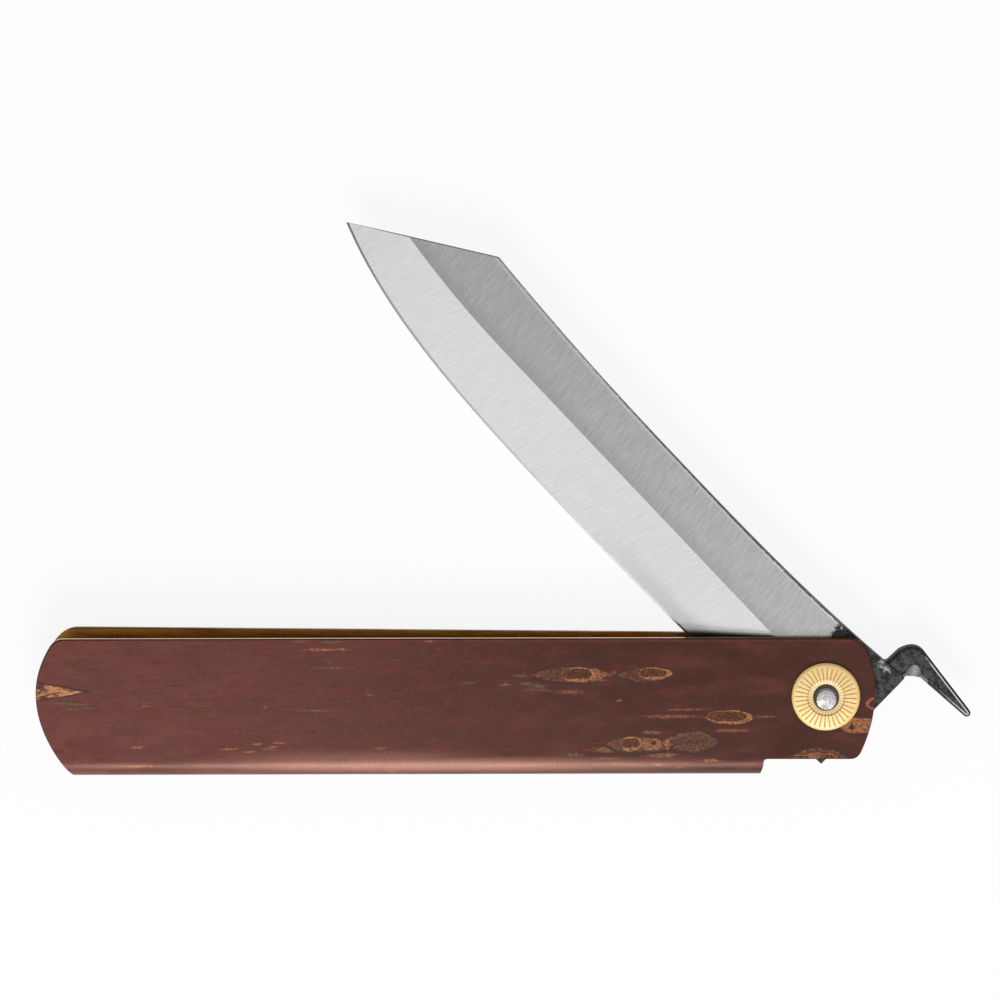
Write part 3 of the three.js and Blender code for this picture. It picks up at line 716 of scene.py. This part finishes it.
def steel():
    """The blade: ground sides, scale on its spine, tang and lever, and the lever's worn edges with
    painted highlights.
    """
    surface = Surface("blade_steel", metallic=1.0)
    closed = surface.turned(surface.place, REST_OPENING)
    x, y, _ = surface.split(closed)
    surface.facing_up = surface.math("ABSOLUTE", surface.facing[2])
    colour, height, polish = ground_steel(surface, closed, x, y)
    scale, pitted, cover, cloud = forge_scale(surface, closed, x, y)
    wear_and_painted_highlight = lever_wear_and_painted_highlight(surface, closed, x, y, cloud)
    hollow = surface.rise(oval(surface, closed, LEVER_HOLLOW, LEVER_HOLLOW_HALF, 1.4), 1.35, 1.2)
    hollow = surface.both(hollow, surface.rise(surface.facing_up, 0.985, 0.96))
    colour = surface.mix(cover, colour, scale)
    colour = surface.mix(hollow, colour, surface.mix(cloud, grey(104), grey(158)))
    wear_and_painted_highlight = surface.both(wear_and_painted_highlight, surface.math("SUBTRACT", 1.0, hollow))
    # Bare steel where the scale is worn, and painted highlights on the lever
    colour = surface.mix(wear_and_painted_highlight, colour, grey(226))
    covered = surface.math("MAXIMUM", surface.math("SUBTRACT", cover, wear_and_painted_highlight), 0.0)
    pitted = surface.both(pitted, surface.rise(hollow, 0.0, 1.0, 1.0, 0.15))
    surface.relief(surface.blend(covered, height, pitted))
    rough = surface.blend(covered, polish, 0.56)
    return surface.finish(colour, surface.add(rough, surface.both(hollow, 0.1)))


def aged_brass(surface, x, y):
    """Brushed and stained brass, with painted light towards the tail and painted shade down in the
    channel: its colour, its brushed lines and its stains.
    """
    lengthwise = surface.scaled(surface.place, (0.3, 4.0, 4.0))
    brushed = surface.noise(lengthwise, detail=4, roughness=0.7)
    stain = surface.noise(surface.scaled(surface.place, (0.12, 0.5, 0.5)), detail=4)
    colour = surface.mix(surface.rise(brushed, 0.3, 0.7), tone(226, 128, 38), tone(255, 188, 88))
    colour = surface.mix(surface.rise(stain, 0.42, 0.66, 0.0, 0.6), colour, tone(150, 76, 20))
    # Painted light brightening the brass towards the tail
    colour = surface.mix(surface.rise(x, *BRASS_TAIL_X, 0.0, 0.9), colour, tone(255, 182, 86))
    # Painted shade down in the channel
    painted_depth_shade = surface.rise(y, OPEN_Y - 0.3, OPEN_Y - 1.2, 0.0, 0.4)
    colour = surface.mix(painted_depth_shade, colour, tone(84, 50, 20))
    under_lip = surface.rise(y, OPEN_Y + 0.3, OPEN_Y + 0.65, 0.0, 0.7)
    return surface.mix(under_lip, colour, tone(66, 38, 16)), brushed, stain


def brass_sheet():
    """The folded sheet: darker under the bark, with painted shade inside the front wall and a painted
    shadow on the open edge beside the blade, with brown cut edges and a pale front lip."""
    surface = Surface("sheet_brass", metallic=1.0)
    x, y, z = surface.split(surface.place)
    _, facing_open, facing_front = surface.facing
    colour, brushed, stain = aged_brass(surface, x, y)
    front = surface.math("GREATER_THAN", z, MID_Z)
    toward = surface.math("MULTIPLY_ADD", front, 2.0, -1.0)
    outside = surface.rise(surface.both(facing_front, toward), 0.3, 0.6)
    colour = surface.mix(outside, colour, tone(104, 64, 44))
    # Painted shade on the front wall's inner face
    painted_shade_inside_front = surface.both(front, surface.rise(facing_front, -0.3, -0.6))
    colour = surface.mix(surface.both(painted_shade_inside_front, 0.9), colour, tone(38, 27, 22))
    rim = surface.rise(surface.math("ABSOLUTE", facing_front), 0.6, 0.4)
    colour = surface.mix(rim, colour, tone(98, 62, 40))
    lip = surface.both(surface.both(rim, front), surface.rise(facing_open, 0.7, 0.9))
    colour = surface.mix(lip, colour, tone(208, 160, 122))
    # Painted shadow on the front lip beside the blade
    painted_shadow_beside_blade = surface.both(surface.both(rim, front), surface.rise(x, *BESIDE_BLADE_X, 0.0, 0.9))
    colour = surface.mix(painted_shadow_beside_blade, colour, tone(28, 19, 17))
    behind = surface.both(surface.rise(y, OPEN_Y + 0.1, OPEN_Y + 0.45), 0.8)
    colour = surface.mix(surface.both(rim, behind), colour, tone(44, 26, 18))
    surface.relief(surface.both(brushed, 0.012))
    rough = surface.add(surface.rise(stain, 0.3, 0.7, 0.26, 0.4), surface.both(painted_shade_inside_front, 0.3))
    return surface.finish(colour, rough)


def groove_lines(surface, x, y, z, radius):
    """Fine lines down the middles of a washer's grooves, and the ring of grooves they lie in."""
    side = surface.math("SIGN", surface.math("SUBTRACT", z, MID_Z))
    angle = surface.math("ARCTAN2", surface.both(y, side), x)
    turns = surface.math("MULTIPLY_ADD", angle, GROOVE_COUNT / (2 * math.pi), GROOVE_COUNT)
    within = surface.math("FRACT", surface.add(turns, 1 - GROOVE_MIDDLE + 0.5))
    off = surface.math("ABSOLUTE", surface.math("SUBTRACT", within, 0.5))
    line = surface.rise(surface.both(off, radius), 0.5, 0.2)
    field = surface.band(radius, 2.0, 2.15, WASHER_RADIUS - 0.5, WASHER_RADIUS - 0.35)
    return line, field


def brass_washer():
    """Bright stamped brass with tarnish in its grooves, a darker rim, and painted light on its inner
    zone.
    """
    surface = Surface("washer_brass", metallic=0.2)
    x, y, z = surface.split(surface.place)
    radius = surface.vector("LENGTH", surface.joined(x, y))
    line, field = groove_lines(surface, x, y, z, radius)
    tarnish = surface.noise(surface.scaled(surface.place, (0.9, 0.9, 0.9)), detail=4)
    colour = surface.mix(surface.rise(tarnish, 0.35, 0.65), tone(254, 217, 150), tone(255, 227, 166))
    # Painted light on the inner zone, lightening it against its shading
    inner = surface.both(surface.rise(radius, WASHER_RING_RADIUS, WASHER_RING_RADIUS - 0.1), 0.5)
    colour = surface.mix(inner, colour, tone(255, 232, 180))
    marks = surface.both(surface.both(line, field), surface.rise(tarnish, 0.3, 0.7, 0.45, 0.7))
    colour = surface.mix(marks, colour, tone(172, 124, 64))
    rim = surface.rise(radius, WASHER_RADIUS - 0.32, WASHER_RADIUS - 0.12, 0.0, 0.6)
    colour = surface.mix(rim, colour, tone(230, 176, 92))
    ring = surface.band(radius, WASHER_RING_RADIUS - 0.3, WASHER_RING_RADIUS - 0.12,
                        WASHER_RING_RADIUS, WASHER_RING_RADIUS + 0.12)
    colour = surface.mix(surface.both(ring, 0.45), colour, tone(186, 132, 68))
    grit = surface.noise(surface.scaled(surface.place, (6.0, 6.0, 6.0)), detail=3)
    surface.relief(surface.both(grit, 0.012))
    return surface.finish(colour, surface.rise(tarnish, 0.3, 0.7, 0.44, 0.54))


def rivet_steel():
    """Bright hammered steel, with painted shade where its head slopes down."""
    surface = Surface("rivet_steel", metallic=1.0)
    facing_up = surface.math("ABSOLUTE", surface.facing[2])
    dents = surface.noise(surface.scaled(surface.place, (1.4, 1.4, 1.4)), detail=2)
    smear = surface.noise(surface.scaled(surface.place, (3.0, 3.0, 3.0)), detail=3)
    colour = surface.mix(surface.rise(smear, 0.35, 0.65), tone(212, 208, 207), tone(238, 236, 236))
    # Painted shade on the head's slope
    painted_slope_shade = surface.rise(facing_up, 0.95, 0.84)
    colour = surface.mix(surface.both(painted_slope_shade, 0.95), colour, tone(84, 76, 72))
    surface.relief(surface.both(dents, 0.1))
    return surface.finish(colour, surface.rise(smear, 0.3, 0.7, 0.3, 0.42))


def dress(name, material, smooth_under, round_edges=0.0):
    """Gives a node its finish, smooth shading where its faces meet at less than an angle, and
    edges rounded by some millimetres."""
    thing = cad_nodes[name]
    thing.data.materials.clear()
    thing.data.materials.append(material)
    bpy.context.view_layer.objects.active = thing
    bpy.ops.mesh.customdata_custom_splitnormals_clear()
    thing.data.shade_smooth()
    thing.modifiers.new("joined_corners", "WELD").merge_threshold = SAME_CORNER * MM
    if round_edges:
        rounding = thing.modifiers.new("worn_edges", "BEVEL")
        rounding.width = round_edges * MM
        rounding.segments = 2
        rounding.limit_method = "ANGLE"
        rounding.angle_limit = math.radians(EDGE_ROUND_ANGLE)
        rounding.use_clamp_overlap = True
    split = thing.modifiers.new("sharp_edges", "EDGE_SPLIT")
    split.split_angle = math.radians(smooth_under)


def floor():
    """A pale floor that keeps the knife's shadow, faint where the camera and metal see it."""
    bpy.ops.mesh.primitive_plane_add(size=FLOOR_SIZE, location=(0, 0, 0))
    plane = bpy.context.object
    plane.name = "floor"
    surface = Surface("floor_white")
    surface.shader.inputs["Specular IOR Level"].default_value = 0
    plane.data.materials.append(surface.finish((0.95, 0.95, 0.95, 1), 0.9))
    glow = surface.nodes.new("ShaderNodeEmission")
    glow.inputs["Strength"].default_value = 1
    shown = surface.nodes.new("ShaderNodeMixShader")
    rays = surface.nodes.new("ShaderNodeLightPath").outputs
    seen = surface.either(rays["Is Camera Ray"], rays["Is Glossy Ray"])
    seen = surface.either(seen, rays["Is Transmission Ray"])
    surface.feed(shown.inputs[0], surface.both(seen, FLOOR_GLOW_SHARE))
    surface.links.new(surface.shader.outputs[0], shown.inputs[1])
    surface.links.new(glow.outputs[0], shown.inputs[2])
    surface.links.new(shown.outputs[0], surface.nodes["Material Output"].inputs["Surface"])


def softbox(name, place, aim, size, radiance):
    """A soft lamp of that size in millimetres, as bright as a white surface times radiance."""
    light = bpy.data.lights.new(name, "AREA")
    light.shape = "RECTANGLE"
    light.size = size[0] * MM
    light.size_y = size[1] * MM
    light.energy = radiance * math.pi * light.size * light.size_y
    lamp = bpy.data.objects.new(name, light)
    lamp.location = Vector(place) * MM
    lamp.rotation_euler = (Vector(aim) * MM - lamp.location).to_track_quat("-Z", "Y").to_euler()
    bpy.context.scene.collection.objects.link(lamp)


# The studio's brightness from its far side, by how far a direction leans to the near side
STUDIO_TONES = [(-1.0, 0.2), (-0.6, 0.42), (-0.3, 0.58), (-0.1, 0.5), (0.05, 0.4), (0.125, 0.6),
                (0.16, 0.58), (0.2, 0.84), (0.25, 1.0), (0.3, 0.86), (0.35, 0.6), (0.42, 0.46),
                (1.0, 0.46)]


def studio():
    """Soft light all round: bright on the near side, dimmer on the far one, pale at the horizon."""
    made = bpy.data.worlds.new("studio")
    made.use_nodes = True
    graph = Graph(made.node_tree)
    direction = graph.nodes.new("ShaderNodeTexCoord").outputs["Generated"]
    _, y, z = graph.split(direction)
    leaning = graph.math("MULTIPLY_ADD", y, -0.5, 0.5)
    shades = [((lean + 1) / 2, (level, level, level, 1)) for lean, level in STUDIO_TONES]
    around = graph.ramp(leaning, shades)
    pale = graph.rise(z, 0.2, 0.06)
    background = graph.nodes["Background"]
    graph.feed(background.inputs["Color"], graph.mix(pale, around, (0.88, 0.88, 0.88, 1)))
    background.inputs["Strength"].default_value = 1
    bpy.context.scene.world = made


def camera():
    """The camera, turned about X alone, so that it stays level with the handle."""
    lens = bpy.data.cameras.new("camera")
    lens.lens = CAMERA_LENS
    lens.sensor_width = CAMERA_SENSOR
    lens.clip_start = CAMERA_CLIP
    eye_point = bpy.data.objects.new("camera", lens)
    bpy.context.scene.collection.objects.link(eye_point)
    eye_point.rotation_euler = (-CAMERA_TILT, 0, 0)
    toward = Vector((0, -math.sin(CAMERA_TILT), -math.cos(CAMERA_TILT)))
    eye_point.location = CAMERA_TARGET - CAMERA_DISTANCE * toward
    bpy.context.scene.camera = eye_point


bpy.context.scene.view_settings.view_transform = "Standard"
washer_finish = brass_washer()
dress("bark_wrap", bark(), SHEET_SMOOTH)
dress("handle_channel", brass_sheet(), SHEET_SMOOTH)
dress("blade", steel(), BLADE_SMOOTH, round_edges=BLADE_EDGE_ROUND)
dress("pivot_rivet", rivet_steel(), RIVET_SMOOTH)
dress("washer_front", washer_finish, SHEET_SMOOTH)
dress("washer_rear", washer_finish, SHEET_SMOOTH)
floor()
studio()
softbox("near_light", LAMP_PLACE, LAMP_AIM, LAMP_SIZE, LAMP_RADIANCE)
camera()
